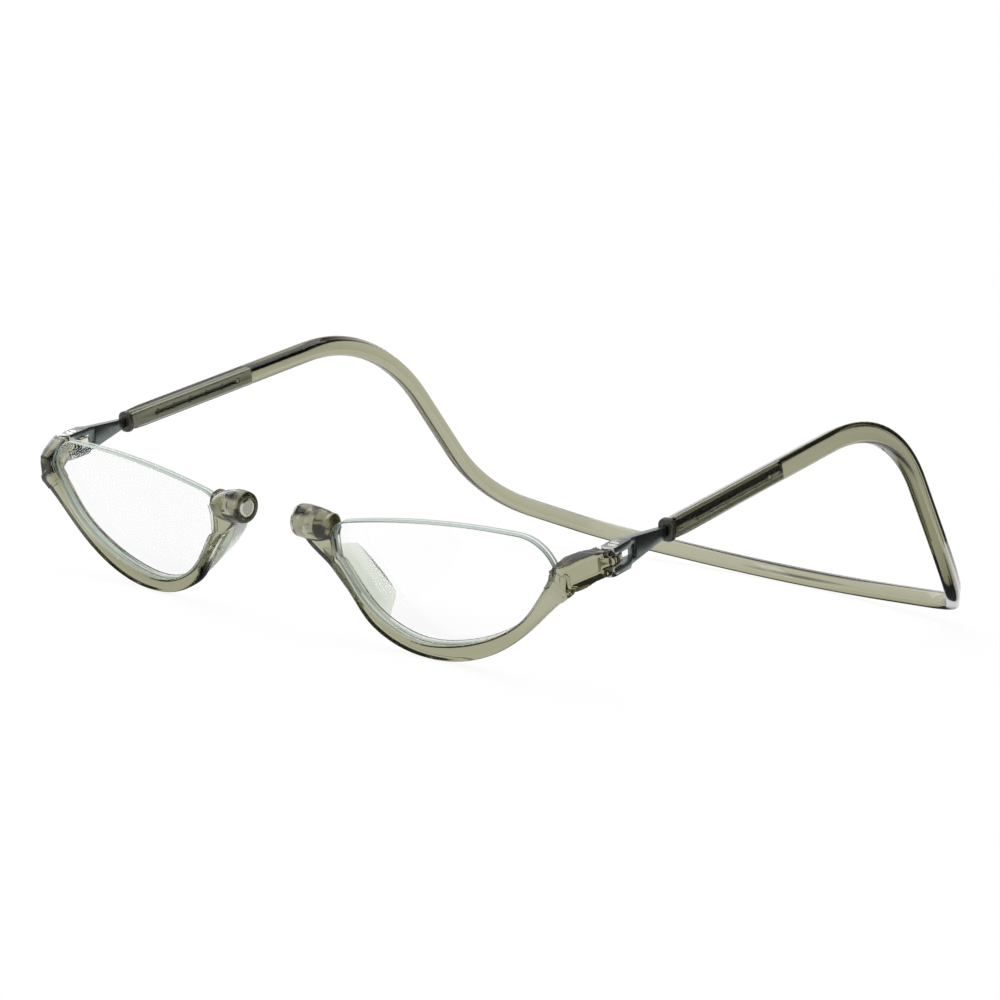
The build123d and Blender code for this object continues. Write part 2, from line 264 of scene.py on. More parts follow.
# Hairline scratches: how their noise is turned and drawn out, the part of it that shows, and its weight
SCRATCH_TURN = (0.3, 0.5, 0.9)
SCRATCH_STRETCH = (1.0, 14.0, 14.0)
SCRATCHES = (0.62, 0.72)
SCRATCH_WEIGHT = 0.4
# Worn edges: the pointiness at which wear starts and is full, and how fine its patches are
WORN = (0.52, 0.60)
WEAR_SCALE = 700.0
# The grain of metal runs along the level arms
GRAIN_TURN = (radians(-16.4), 0, 0)
GRAIN_STRETCH = (12.0, 1.0, 12.0)


def new_group(name, inputs, outputs):
    group = bpy.data.node_groups.new(name, "ShaderNodeTree")
    for label, kind, value in inputs:
        socket = group.interface.new_socket(name=label, in_out="INPUT", socket_type=kind)
        socket.default_value = value
    for label, kind in outputs:
        group.interface.new_socket(name=label, in_out="OUTPUT", socket_type=kind)
    entry = group.nodes.new("NodeGroupInput")
    leave = group.nodes.new("NodeGroupOutput")
    return group, entry, leave


def handling_marks():
    """Smudges and hairline scratches: uneven gloss and a little height."""
    group, entry, leave = new_group(
        "Handling marks",
        [("Scale", "NodeSocketFloat", 300.0), ("Gloss", "NodeSocketFloat", 0.1),
         ("Spread", "NodeSocketFloat", 0.05)],
        [("Roughness", "NodeSocketFloat"), ("Height", "NodeSocketFloat")])
    place = object_place(group)
    smudge = noise(group, place, entry.outputs["Scale"], Detail=4.0, Roughness=0.6)
    drawn_out = turned_place(group, place, SCRATCH_TURN, SCRATCH_STRETCH)
    hairline = noise(group, drawn_out, entry.outputs["Scale"], Detail=2.0)
    scratch = ramp(group, hairline, *SCRATCHES)
    both = maths(group, "MULTIPLY_ADD", scratch, SCRATCH_WEIGHT, smudge)
    centred = maths(group, "SUBTRACT", both, NOISE_MIDDLE)
    gloss = maths(group, "MULTIPLY_ADD", centred, entry.outputs["Spread"], entry.outputs["Gloss"],
                  use_clamp=True)
    group.links.new(gloss, leave.inputs["Roughness"])
    group.links.new(both, leave.inputs["Height"])
    return group


def moulded_flow():
    """Slow swells and flow lines of moulded plastic."""
    group, entry, leave = new_group(
        "Moulded flow",
        [("Scale", "NodeSocketFloat", 80.0), ("Pale", "NodeSocketColor", grey(1)),
         ("Deep", "NodeSocketColor", grey(1))],
        [("Color", "NodeSocketColor"), ("Height", "NodeSocketFloat")])
    swell = noise(group, object_place(group), entry.outputs["Scale"], Detail=2.0, Distortion=0.6)
    tint = mix_colours(group, swell, entry.outputs["Pale"], entry.outputs["Deep"])
    group.links.new(tint, leave.inputs["Color"])
    group.links.new(swell, leave.inputs["Height"])
    return group


def worn_edges():
    """Bare metal where a coated edge is rubbed, and a fine grain along the piece."""
    group, entry, leave = new_group(
        "Worn edges",
        [("Coat", "NodeSocketColor", grey(0.3)), ("Bare", "NodeSocketColor", grey(0.7)),
         ("Grain", "NodeSocketFloat", 900.0)],
        [("Color", "NodeSocketColor"), ("Height", "NodeSocketFloat")])
    place = object_place(group)
    edge = ramp(group, add_node(group, "ShaderNodeNewGeometry").outputs["Pointiness"], *WORN)
    patch = noise(group, place, WEAR_SCALE, Detail=3.0)
    rubbed = maths(group, "MULTIPLY", edge, patch)
    grain = noise(group, turned_place(group, place, GRAIN_TURN, GRAIN_STRETCH), entry.outputs["Grain"],
                  Detail=2.0)
    shade = mix_colours(group, rubbed, entry.outputs["Coat"], entry.outputs["Bare"])
    group.links.new(shade, leave.inputs["Color"])
    group.links.new(grain, leave.inputs["Height"])
    return group


MARKS = handling_marks()
FLOW = moulded_flow()
WEAR = worn_edges()


# Finishes

# With the glasses turned level about the X axis: the hinge screws' place in Y, the guides' height
LEVEL_TURN = (radians(-STAND_TILT), 0, 0)
LEVEL_ORIGIN = ON_STAND.to_3x3().inverted() @ ON_STAND.translation
SCREW_BACK = LEVEL_ORIGIN.y
GUIDE_MIDDLE = LEVEL_ORIGIN.z - BAND_DROP * MM
# Half of the soft step to the shade painted on the upper half of a guide's outer face, in millimetres
GUIDE_FADE = 0.7
# Painted shade: the colour that darkens the upper half of each guide's outer face
GUIDE_PAINTED_SHADE = (0.030, 0.032, 0.028, 1)
# How far forward of the hinge screw the ears start to get a painted highlight and more gloss, and have them
# fully, in millimetres
EAR_TIPS = (0.2, 1.1)
# Painted highlight: the lighter colour at the tips of the ears
EAR_PAINTED_HIGHLIGHT = (0.42, 0.43, 0.41, 1)
EAR_GLOSS = -0.14


def new_finish(name, **constants):
    """A material with one principled shader, its plain values set on its sockets."""
    finish = bpy.data.materials.new(name)
    finish.use_nodes = True
    tree = finish.node_tree
    shader = tree.nodes["Principled BSDF"]
    for key, value in constants.items():
        shader.inputs[key.replace("_", " ")].default_value = value
    return finish, tree, shader


def output_of(tree):
    return next(node for node in tree.nodes if node.type == "OUTPUT_MATERIAL")


def use_group(tree, group, **values):
    return add_node(tree, "ShaderNodeGroup", values, node_tree=group)


def colour_from(tree, shader, group, **values):
    """Colours the shader by one of the effects, which also has a height to use."""
    effect = use_group(tree, group, **values)
    tree.links.new(effect.outputs["Color"], shader.inputs["Base Color"])
    return effect


def marks_on(tree, shader, **values):
    """Makes the shader's gloss uneven by handling marks, which also have a height to use."""
    marks = use_group(tree, MARKS, **values)
    tree.links.new(marks.outputs["Roughness"], shader.inputs["Roughness"])
    return marks


def bump_from(tree, height, shader, distance, strength=1.0):
    bump = add_node(tree, "ShaderNodeBump", {"Height": height, "Distance": distance, "Strength": strength})
    tree.links.new(bump.outputs[0], shader.inputs["Normal"])


def let_light_through(tree, shader, tint, colour=None, density=0.0, straight=0.0):
    """Lets lamps shine through to the pieces inside, and darkens the material where it is thick if it has
    a density. The share of the view that isn't bent is straight."""
    out = output_of(tree)
    path = add_node(tree, "ShaderNodeLightPath")
    clear = add_node(tree, "ShaderNodeBsdfTransparent", {"Color": tint})
    unbent = maths(tree, "MAXIMUM", path.outputs["Is Shadow Ray"], straight)
    mixed = mix_shaders(tree, unbent, shader.outputs[0], clear.outputs[0])
    tree.links.new(mixed, out.inputs["Surface"])
    if density:
        absorb = add_node(tree, "ShaderNodeVolumeAbsorption", {"Color": colour, "Density": density})
        tree.links.new(absorb.outputs[0], out.inputs["Volume"])


def smoky_plastic():
    """Plastic of the band and the fronts."""
    finish, tree, shader = new_finish("Smoky see-through plastic", Transmission_Weight=1.0, IOR=1.5)
    flow = colour_from(tree, shader, FLOW, Scale=90.0, Pale=(0.99, 0.99, 0.97, 1),
                       Deep=(0.93, 0.935, 0.90, 1))
    marks_on(tree, shader, Scale=260.0, Gloss=0.025, Spread=0.04)
    bump_from(tree, flow.outputs["Height"], shader, 0.05 * MM, strength=0.6)
    let_light_through(tree, shader, tint=(0.72, 0.71, 0.62, 1), colour=(0.38, 0.37, 0.13, 1), density=370.0)
    return finish


def cartridge_plastic():
    """Plastic of the guides, with shade painted on the upper half of their outer faces."""
    finish, tree, shader = new_finish("Cartridge plastic with painted shade", IOR=1.5)
    flow = use_group(tree, FLOW, Scale=260.0, Pale=(0.52, 0.525, 0.41, 1), Deep=(0.36, 0.365, 0.28, 1))
    marks = marks_on(tree, shader, Scale=500.0, Gloss=0.22, Spread=0.2)
    place = object_place(tree)
    height = axis(tree, turned_place(tree, place, LEVEL_TURN), "Z")
    upper = soft_step(tree, height, GUIDE_MIDDLE - GUIDE_FADE * MM, GUIDE_MIDDLE + GUIDE_FADE * MM)
    sideways = maths(tree, "ABSOLUTE", axis(tree, place, "X"))
    outer = maths(tree, "GREATER_THAN", sideways, BAND_X * MM)
    # Painted shade on the upper half of the outer faces
    dark = maths(tree, "MULTIPLY", upper, outer)
    colour = mix_colours(tree, dark, flow.outputs["Color"], GUIDE_PAINTED_SHADE)
    tree.links.new(colour, shader.inputs["Base Color"])
    bump_from(tree, marks.outputs["Height"], shader, 0.02 * MM)
    return finish


def collar_plastic():
    finish, tree, shader = new_finish("Dark glossy collar plastic", IOR=1.5)
    colour_from(tree, shader, FLOW, Scale=400.0, Pale=(0.045, 0.044, 0.026, 1),
                Deep=(0.018, 0.018, 0.010, 1))
    marks = marks_on(tree, shader, Scale=800.0, Gloss=0.07, Spread=0.05)
    bump_from(tree, marks.outputs["Height"], shader, 0.001 * MM)
    return finish


def gunmetal():
    """Dark plate, rubbed bright at its edges, with the tips of its ears glossier and given a painted
    highlight in a lighter colour.
    """
    finish, tree, shader = new_finish("Gunmetal of the temple arm", Metallic=1.0)
    wear = use_group(tree, WEAR, Coat=(0.15, 0.18, 0.172, 1), Bare=(0.60, 0.63, 0.61, 1), Grain=500.0)
    marks = use_group(tree, MARKS, Scale=300.0, Gloss=0.24, Spread=0.08)
    back = axis(tree, turned_place(tree, object_place(tree), LEVEL_TURN), "Y")
    # At the ear tips: a painted highlight in the colour, and more gloss
    ears = soft_step(tree, back, SCREW_BACK - EAR_TIPS[0] * MM, SCREW_BACK - EAR_TIPS[1] * MM)
    colour = mix_colours(tree, ears, wear.outputs["Color"], EAR_PAINTED_HIGHLIGHT)
    gloss = maths(tree, "MULTIPLY_ADD", ears, EAR_GLOSS, marks.outputs["Roughness"], use_clamp=True)
    tree.links.new(colour, shader.inputs["Base Color"])
    tree.links.new(gloss, shader.inputs["Roughness"])
    bump_from(tree, wear.outputs["Height"], shader, 0.0015 * MM)
    return finish


def bright_steel():
    """Steel of the hinge screws and of the cup round each magnet."""
    finish, tree, shader = new_finish("Bright turned steel", Metallic=1.0)
    wear = colour_from(tree, shader, WEAR, Coat=(0.52, 0.51, 0.47, 1), Bare=(0.90, 0.89, 0.85, 1),
                       Grain=1500.0)
    marks_on(tree, shader, Scale=900.0, Gloss=0.10, Spread=0.10)
    bump_from(tree, wear.outputs["Height"], shader, 0.005 * MM)
    return finish


def pale_nub():
    """Plastic of the pins that sit in the guides' notches."""
    finish, tree, shader = new_finish("Pale moulded nub", IOR=1.5, Coat_Weight=0.5)
    colour_from(tree, shader, FLOW, Scale=900.0, Pale=(0.86, 0.86, 0.78, 1), Deep=(0.70, 0.70, 0.60, 1))
    marks = marks_on(tree, shader, Scale=900.0, Gloss=0.20, Spread=0.12)
    bump_from(tree, marks.outputs["Height"], shader, 0.01 * MM)
    return finish


def magnet_plating():
    finish, tree, shader = new_finish("Scuffed magnet plating", Metallic=0.85)
    colour_from(tree, shader, WEAR, Coat=(0.56, 0.57, 0.48, 1), Bare=(0.80, 0.79, 0.74, 1), Grain=1200.0)
    marks = marks_on(tree, shader, Scale=1100.0, Gloss=0.32, Spread=0.25)
    bump_from(tree, marks.outputs["Height"], shader, 0.02 * MM)
    return finish


def clear_lens():
    """Thin lens that hardly bends the view."""
    finish, tree, shader = new_finish("Clear polished lens", Transmission_Weight=1.0, IOR=1.5,
                                      Specular_IOR_Level=0.1)
    colour_from(tree, shader, FLOW, Scale=40.0, Pale=grey(1), Deep=(0.995, 1.0, 0.995, 1))
    marks_on(tree, shader, Scale=220.0, Gloss=0.004, Spread=0.01)
    let_light_through(tree, shader, tint=(0.997, 1.0, 0.998, 1), colour=(0.80, 0.95, 0.88, 1),
                      density=4.0, straight=0.93)
    return finish


def ground_edge():
    finish, tree, shader = new_finish("Ground edge of the lens", IOR=1.5)
    colour_from(tree, shader, FLOW, Scale=300.0, Pale=(0.46, 0.53, 0.48, 1), Deep=(0.38, 0.45, 0.40, 1))
    marks = marks_on(tree, shader, Scale=900.0, Gloss=0.40, Spread=0.2)
    bump_from(tree, marks.outputs["Height"], shader, 0.003 * MM)
    let_light_through(tree, shader, tint=(0.80, 0.86, 0.84, 1))
    return finish


def clear_soft(name, pale, deep, gloss, density, clear):
    """Supple plastic of the nose pads and the holding line. The share that passes light is clear."""
    finish, tree, shader = new_finish(name, Transmission_Weight=clear, IOR=1.47)
    flow = colour_from(tree, shader, FLOW, Scale=200.0, Pale=pale, Deep=deep)
    marks_on(tree, shader, Scale=700.0, Gloss=gloss, Spread=0.08)
    bump_from(tree, flow.outputs["Height"], shader, 0.03 * MM)
    let_light_through(tree, shader, tint=pale, colour=(0.55, 0.62, 0.52, 1), density=density)
    return finish


SMOKY = smoky_plastic()
CARTRIDGE = cartridge_plastic()
COLLAR = collar_plastic()
GUNMETAL = gunmetal()
STEEL = bright_steel()
NUB = pale_nub()
MAGNET = magnet_plating()
LENS = clear_lens()
GROUND = ground_edge()
PAD = clear_soft("Clear nose pad", pale=(0.90, 0.92, 0.86, 1), deep=(0.80, 0.83, 0.75, 1),
                 gloss=0.30, density=110.0, clear=0.9)
LINE = clear_soft("Clear holding line", pale=(0.56, 0.63, 0.58, 1), deep=(0.46, 0.53, 0.48, 1),
                  gloss=0.16, density=60.0, clear=0.2)


# Headband: one springy strip with a hollow sleeve at each end

# Corners that the left half of the band's middle line rounds, and the radius there
BAND_CORNERS = [
    ((70.5, 102.4, -2.6), 47.1),
    ((67.6, 136.8, -55.1), 54.1),
    ((51.4, 168.0, -73.0), 18.3),
    ((0.0, 182.0, -81.3), 94.1),
]
# Places near the mouth of a sleeve, back from it, and the share of the full section there
MOUTH_TAPER = [(0.0, 0.86), (0.7, 0.91), (1.8, 0.96), (3.6, 1.0)]
# The section is a circle whose handles are drawn out from the length of a round one to make it squarer
SQUARENESS = 0.96
ROUND_HANDLE = 0.5523
# Steps from one knot to the next, along the band and round its section
BAND_STEPS = 20
# How far before the mouth the cut for a cavity starts, and the bevel of its edges, in millimetres
CUT_PAST_MOUTH = 1.0
CAVITY_EDGE = 0.12


def band_knots():
    """Knots of the band's line: each with its place, its two handles and the share of the full section."""
    def opposite(point):
        return Vector((-point[0], point[1], point[2]))

    corners = [(Vector(place), radius) for place, radius in BAND_CORNERS]
    corners += [(opposite(place), radius) for place, radius in BAND_CORNERS[-2::-1]]
    mouth = Vector((BAND_X, SLEEVE_START, -BAND_DROP))
    places = [mouth] + [place for place, radius in corners] + [opposite(mouth)]
    knots = []
    for back, share in MOUTH_TAPER:
        knots.append([mouth + Vector((0, back, 0)), share])
    lengths = []
    for before, (corner, radius), after in zip(places, corners, places[2:]):
        way_in = (before - corner).normalized()
        way_out = (after - corner).normalized()
        bend = acos(-way_in.dot(way_out))
        reach = radius * tan(bend / 2)
        knots.append([corner + way_in * reach, 1.0])
        knots.append([corner + way_out * reach, 1.0])
        # The length of handle with which the curve follows an arc
        lengths.append(4 / 3 * tan(bend / 4) * radius)
    for back, share in reversed(MOUTH_TAPER):
        knots.append([opposite(mouth + Vector((0, back, 0))), share])

    straight = len(MOUTH_TAPER)
    shaped = []
    for number, (place, share) in enumerate(knots):
        before = knots[number - 1][0] if number else place
        after = knots[number + 1][0] if number + 1 < len(knots) else place
        to_before = (before - place) / 3
        to_after = (after - place) / 3
        arc = number - straight
        if 0 <= arc < 2 * len(lengths):
            length = lengths[arc // 2]
            if arc % 2 == 0:
                to_after = -to_before.normalized() * length
            else:
                to_before = -to_after.normalized() * length
        shaped.append((place, place + to_before, place + to_after, share))
    return shaped


def band_section():
    """The band's outline across, a rounded oblong."""
    bpy.ops.curve.primitive_bezier_circle_add(radius=1)
    section = bpy.context.object
    for point in section.data.splines[0].bezier_points:
        point.handle_left_type = point.handle_right_type = "FREE"
        for handle in ("handle_left", "handle_right"):
            place = point.co + (getattr(point, handle) - point.co) * (SQUARENESS / ROUND_HANDLE)
            setattr(point, handle, (place.x * BAND_THICKNESS / 2 * MM, place.y * BAND_HEIGHT / 2 * MM, 0))
        point.co = (point.co.x * BAND_THICKNESS / 2 * MM, point.co.y * BAND_HEIGHT / 2 * MM, 0)
    section.data.resolution_u = BAND_STEPS
    return section


def springy_headband():
    section = band_section()
    bpy.ops.curve.primitive_bezier_curve_add()
    band = bpy.context.object
    band.name = "springy_headband"
    knots = band_knots()
    run = band.data.splines[0]
    run.bezier_points.add(len(knots) - 2)
    for point, (place, left, right, share) in zip(run.bezier_points, knots):
        point.handle_left_type = point.handle_right_type = "FREE"
        point.co = place * MM
        point.handle_left = left * MM
        point.handle_right = right * MM
        point.radius = share
    band.data.resolution_u = BAND_STEPS
    band.data.twist_mode = "MINIMUM"
    band.data.bevel_mode = "OBJECT"
    band.data.bevel_object = section
    band.data.use_fill_caps = True
    pick(band)
    bpy.ops.object.convert(target="MESH")
    bpy.data.objects.remove(section)
    bpy.ops.object.mode_set(mode="EDIT")
    bpy.ops.mesh.select_all(action="SELECT")
    bpy.ops.mesh.remove_doubles(threshold=MERGE)
    bpy.ops.mesh.normals_make_consistent(inside=False)
    bpy.ops.object.mode_set(mode="OBJECT")
    for side in (1, -1):
        hollow_sleeve(band, side)
    return put_on_stand(band)


def hollow_sleeve(band, side):
    """Cuts the cavity of one sleeve. Its edges get one flat facet, because a rounder edge would tilt the
    shading of the flat walls beside it."""
    length = CAVITY_LENGTH + CUT_PAST_MOUTH
    middle = SLEEVE_START + length / 2 - CUT_PAST_MOUTH
    bpy.ops.mesh.primitive_cube_add(
        size=1, location=(side * BAND_X * MM, middle * MM, -BAND_DROP * MM),
        scale=(CAVITY_THICKNESS * MM, length * MM, CAVITY_HEIGHT * MM))
    cavity = settle(bpy.context.object)
    apply_modifier(cavity, "BEVEL", width=CAVITY_EDGE * MM, segments=1)
    apply_modifier(band, "BOOLEAN", operation="DIFFERENCE", solver="EXACT", object=cavity)
    bpy.data.objects.remove(cavity)


headband = springy_headband()
smooth(headband, angle=25)
dress(headband, SMOKY)
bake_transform(headband)
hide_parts("left_headband", "right_headband")


# Collars: a double rib at the mouth of each sleeve

COLLAR_WIDTH = 3.54
COLLAR_HEIGHT = 4.64
COLLAR_CORNER = 1.35
COLLAR_WALL = 0.96
# Forward of the sleeve's mouth, and the share of the collar's full outline there
COLLAR_RIBS = [(0.05, 0.93), (0.11, 0.98), (0.22, 1.0), (0.50, 1.0), (0.60, 0.97), (0.66, 0.965),
               (0.74, 0.985), (0.88, 0.99), (1.02, 0.97), (1.13, 0.93), (1.20, 0.87)]
# Within this many millimetres of an end of the collar, a face is its end face
END_SLACK = 0.01


def ribbed_collar():
    first, share = COLLAR_RIBS[0]
    bpy.ops.mesh.primitive_plane_add(
        size=1, location=(BAND_X * MM, (SLEEVE_START - first) * MM, -BAND_DROP * MM),
        rotation=(radians(90), 0, 0))
    collar = bpy.context.object
    collar.name = "left_ribbed_collar"
    collar.scale = (COLLAR_WIDTH * share * MM, COLLAR_HEIGHT * share * MM, 1)
    settle(collar)
    bpy.ops.object.mode_set(mode="EDIT")
    bpy.ops.mesh.select_all(action="SELECT")
    bpy.ops.mesh.bevel(offset=COLLAR_CORNER * MM, segments=8, affect="VERTICES")
    bpy.ops.mesh.select_all(action="SELECT")
    for forward, wider in COLLAR_RIBS[1:]:
        bpy.ops.mesh.extrude_region_move(
            TRANSFORM_OT_translate={"value": (0, (first - forward) * MM, 0)})
        bpy.ops.transform.resize(value=(wider / share, 1, wider / share))
        first, share = forward, wider
    front_end = (SLEEVE_START - COLLAR_RIBS[-1][0] + END_SLACK) * MM
    back_end = (SLEEVE_START - COLLAR_RIBS[0][0] - END_SLACK) * MM
    for is_end in (lambda middle, normal: middle.y < front_end, lambda middle, normal: middle.y > back_end):
        select_faces(collar, is_end)
        bpy.ops.mesh.inset(thickness=COLLAR_WALL * MM)
        bpy.ops.mesh.delete(type="FACE")
    bpy.ops.mesh.select_mode(type="EDGE")
    bpy.ops.mesh.select_all(action="DESELECT")
    bpy.ops.mesh.select_non_manifold()
    bpy.ops.mesh.bridge_edge_loops()
    bpy.ops.mesh.select_all(action="SELECT")
    bpy.ops.mesh.normals_make_consistent(inside=False)
    bpy.ops.object.mode_set(mode="OBJECT")
    put_on_stand(collar)
    smooth(collar, angle=50)
    dress(collar, COLLAR)
    return collar


# Front frames: half rim, end piece, pod and neck in one moulding

# How often the block, the neck and then the whole moulding are evened out
BLOCK_ROUNDS = 60
NECK_ROUNDS = 30
FRONT_ROUNDS = 14

# Lengths and places below are millimetres on the front's own axes. A pair gives where a change of shape
# starts and where it is full, or for a fade, where it is gone. Down and inward count against the axes Y
# and X.
FRONT_VOXEL = 0.14
# The top of the end piece bows up
BOW = 0.45
BOW_FORWARD = (3.2, 6.0)
BOW_FADE = (8.5, 12.2)
BOW_OUTWARD = (-7.5, -5.0)
BOW_UPWARD = (-3.0, -0.8)
# The lower outer corner of the end piece hangs lower
DROP = 1.25
DROP_FORWARD = (5.8, 9.5)
DROP_OUTWARD = (-4.2, 1.5)
DROP_DOWNWARD = (3.0, 6.0)
# The neck draws in below the pod, at its edge by the nose: that edge's place in X, how far down it has that
# place, and how far it runs outward for each 1 down
WAIST = 1.4
WAIST_DOWNWARD = (4.9, 9.5)
WAIST_FADE = (13.0, 21.0)
WAIST_FROM_EDGE = (0.6, 2.8)
NOSE_EDGE = -61.5
NOSE_EDGE_DOWN = 5.0
NOSE_EDGE_SLOPE = 0.826
# The pod, from its root by the lens, narrows round its axis to the magnet, and its top sinks between the
# two, where the skin is far enough from the axis
POD_Y = -1.4
POD_Z = 9.7
POD_ROOT = -52.0
TIP_TAPER = 0.08
TIP_INWARD = (60.5, 64.4)
SADDLE = 0.34
SADDLE_OUTWARD = (-63.0, -56.5)
SADDLE_FADE = (-55.0, -50.0)
SADDLE_SKIN = (2.3, 3.1)
# The block that turns the corner to the hinge: out from the hinge axis, and its other sides
BLOCK_FROM_AXIS = (3.6, 5.2)
BLOCK_OUTWARD = (-9.0, -7.0)
BLOCK_UPWARD = (-6.5, -3.5)
# Where the neck runs into the pod
NECK_DOWNWARD = (4.2, 5.6)
NECK_INWARD = (54.0, 56.5)
NECK_UPWARD = (-12.0, -8.0)
# The strap round the rim: the way along it, its ends along that way, the least X and Z that it covers, and
# how far it stands proud
STRAP_WAY = Vector((0.631, 0.776, 0))
STRAP_ENDS = (-9.4, -6.5)
STRAP_X = -9.5
STRAP_Z = 8.2
STRAP_HEIGHT = 0.18
# A face whose normal agrees with the strap's way by more than this looks along it
LOOKS_ALONG = 0.9


def bow_at(x, y, z):
    height = BOW * ease(z, *BOW_FORWARD) * (1 - ease(z, *BOW_FADE))
    return height * ease(x, *BOW_OUTWARD) * ease(y, *BOW_UPWARD)


def drop_at(x, y, z):
    return DROP * ease(z, *DROP_FORWARD) * ease(x, *DROP_OUTWARD) * ease(-y, *DROP_DOWNWARD)


def waist_at(x, y):
    from_edge = x - NOSE_EDGE + (y + NOSE_EDGE_DOWN) * NOSE_EDGE_SLOPE
    depth = WAIST * ease(-y, *WAIST_DOWNWARD) * (1 - ease(-y, *WAIST_FADE))
    return depth * (1 - ease(from_edge, *WAIST_FROM_EDGE))


def pod_taper_at(x, y, z):
    """The share of its distance from the pod's axis that a place on the pod keeps."""
    far = ((y - POD_Y) ** 2 + (z - POD_Z) ** 2) ** 0.5
    taper = 1 - TIP_TAPER * ease(-x, *TIP_INWARD)
    if y > POD_Y:
        taper -= SADDLE * ease(x, *SADDLE_OUTWARD) * (1 - ease(x, *SADDLE_FADE)) * ease(far, *SADDLE_SKIN)
    return taper


def end_block_share(place):
    """1 inside the block that turns the corner to the hinge, 0 at the seats of the ears and along the
    rim."""
    away = (place.x ** 2 + place.z ** 2) ** 0.5
    return ease(away, *BLOCK_FROM_AXIS) * ease(place.x, *BLOCK_OUTWARD) * ease(place.y, *BLOCK_UPWARD)


def neck_share(place):
    """1 where the neck runs into the pod."""
    return ease(-place.y, *NECK_DOWNWARD) * ease(-place.x, *NECK_INWARD) * ease(place.y, *NECK_UPWARD)


def moulded_front():
    front = copy_of_node("left_front_frame", "left_moulded_front")
    front.data.transform(ON_FRONT.inverted())
    apply_modifier(front, "REMESH", mode="VOXEL", voxel_size=FRONT_VOXEL * MM)
    for vertex in front.data.vertices:
        x, y, z = vertex.co / MM
        if x > BOW_OUTWARD[0] and y > BOW_UPWARD[0] and z > BOW_FORWARD[0]:
            vertex.co.y += bow_at(x, y, z) * MM
        elif x > DROP_OUTWARD[0] and y < -DROP_DOWNWARD[0]:
            vertex.co.y -= drop_at(x, y, z) * MM
        elif y < -WAIST_DOWNWARD[0]:
            vertex.co.x += waist_at(x, y) * MM
        else:
            taper = pod_taper_at(x, y, z)
            if x < POD_ROOT:
                vertex.co.y = (POD_Y + (y - POD_Y) * taper) * MM
            if x < -TIP_INWARD[0]:
                vertex.co.z = (POD_Z + (z - POD_Z) * taper) * MM
    soften(front, end_block_share, BLOCK_ROUNDS)
    soften(front, neck_share, NECK_ROUNDS)
    even_out(front, FRONT_ROUNDS)
    raise_strap(front)
    front.data.transform(ON_FRONT)
    smooth(front, angle=60)
    dress(front, SMOKY)
    return front


def on_strap(middle, normal):
    along = STRAP_WAY.dot(middle) / MM
    return (STRAP_ENDS[0] < along < STRAP_ENDS[1] and middle.x > STRAP_X * MM and middle.z > STRAP_Z * MM
            and abs(normal.dot(STRAP_WAY)) < LOOKS_ALONG)


def raise_strap(front):
    """Raises the flat strap round the rim, just below the end piece, so that it stands a little proud."""
    pick(front)
    select_faces(front, on_strap)
    bpy.ops.transform.shrink_fatten(value=STRAP_HEIGHT * MM)
    bpy.ops.object.mode_set(mode="OBJECT")


finish_side_pair(ribbed_collar(), "ribbed_collar", "band", "sleeve_collar")
finish_side_pair(moulded_front(), "moulded_front", "front", "front_frame")


# Nose pads

# Millimetres, and how often the pad is evened out
PAD_VOXEL = 0.12
PAD_ROUNDS = 10


def soft_pad():
    pad = copy_of_node("left_nose_pad", "left_soft_pad")
    apply_modifier(pad, "REMESH", mode="VOXEL", voxel_size=PAD_VOXEL * MM)
    even_out(pad, PAD_ROUNDS)
    smooth(pad, angle=60)
    dress(pad, PAD)
    return pad


finish_side_pair(soft_pad(), "soft_pad", "front", "nose_pad")


# Temple arms: bevelled metal plates

# Width of the bevels, in millimetres
ARM_EDGE = 0.22
# Edges that turn more than this, in degrees, are bevelled
ARM_EDGE_TURN = 35


def bevelled_arm():
    arm = copy_of_node("left_temple_arm", "left_bevelled_arm")
    join_flat_faces(arm)
    apply_modifier(arm, "BEVEL", width=ARM_EDGE * MM, segments=3, limit_method="ANGLE",
                   angle_limit=radians(ARM_EDGE_TURN))
    smooth(arm, angle=40)
    dress(arm, GUNMETAL)
    return arm


finish_side_pair(bevelled_arm(), "bevelled_arm", "arm", "temple_arm")


# Magnets: a plated cup with a duller face set in it

# Inward from the edge of the outer face, and up from it, in millimetres: the cup's shoulder, its flat rim
# and the step down to the duller face
MAGNET_STEPS = [(0.05, 0.04), (0.07, 0.0), (0.04, -0.08)]
# The outer face looks inward to the other magnet, against X, by more than this
FACES_INWARD = -0.9


def cupped_magnet():
    magnet = copy_of_node("left_bridge_magnet", "left_cupped_magnet")
    magnet.data.transform(ON_FRONT.inverted())
    join_flat_faces(magnet)
    select_faces(magnet, lambda middle, normal: normal.x < FACES_INWARD)
    for inward, up in MAGNET_STEPS:
        bpy.ops.mesh.inset(thickness=inward * MM, depth=up * MM)
    bpy.ops.object.mode_set(mode="OBJECT")
    dress(magnet, STEEL, MAGNET)
    for face in magnet.data.polygons:
        if face.select:
            face.material_index = 1
    magnet.data.transform(ON_FRONT)
    smooth(magnet, angle=30)
    return magnet


finish_side_pair(cupped_magnet(), "cupped_magnet", "front", "bridge_magnet")


# Lenses: polished faces and a ground edge

# A face that looks forward or back by less than this is part of the edge
FACES_FORWARD = 0.6


def edged_lens():
    lens = copy_of_node("left_lens", "left_edged_lens")
    dress(lens, LENS, GROUND)
    forward = ON_FRONT.to_3x3() @ Vector((0, 0, 1))
    for face in lens.data.polygons:
        if abs(face.normal.dot(forward)) < FACES_FORWARD:
            face.material_index = 1
    smooth(lens, angle=30)
    return lens


finish_side_pair(edged_lens(), "edged_lens", "front", "lens")


# CAD nodes whose shape is right keep it, with a finish of their own

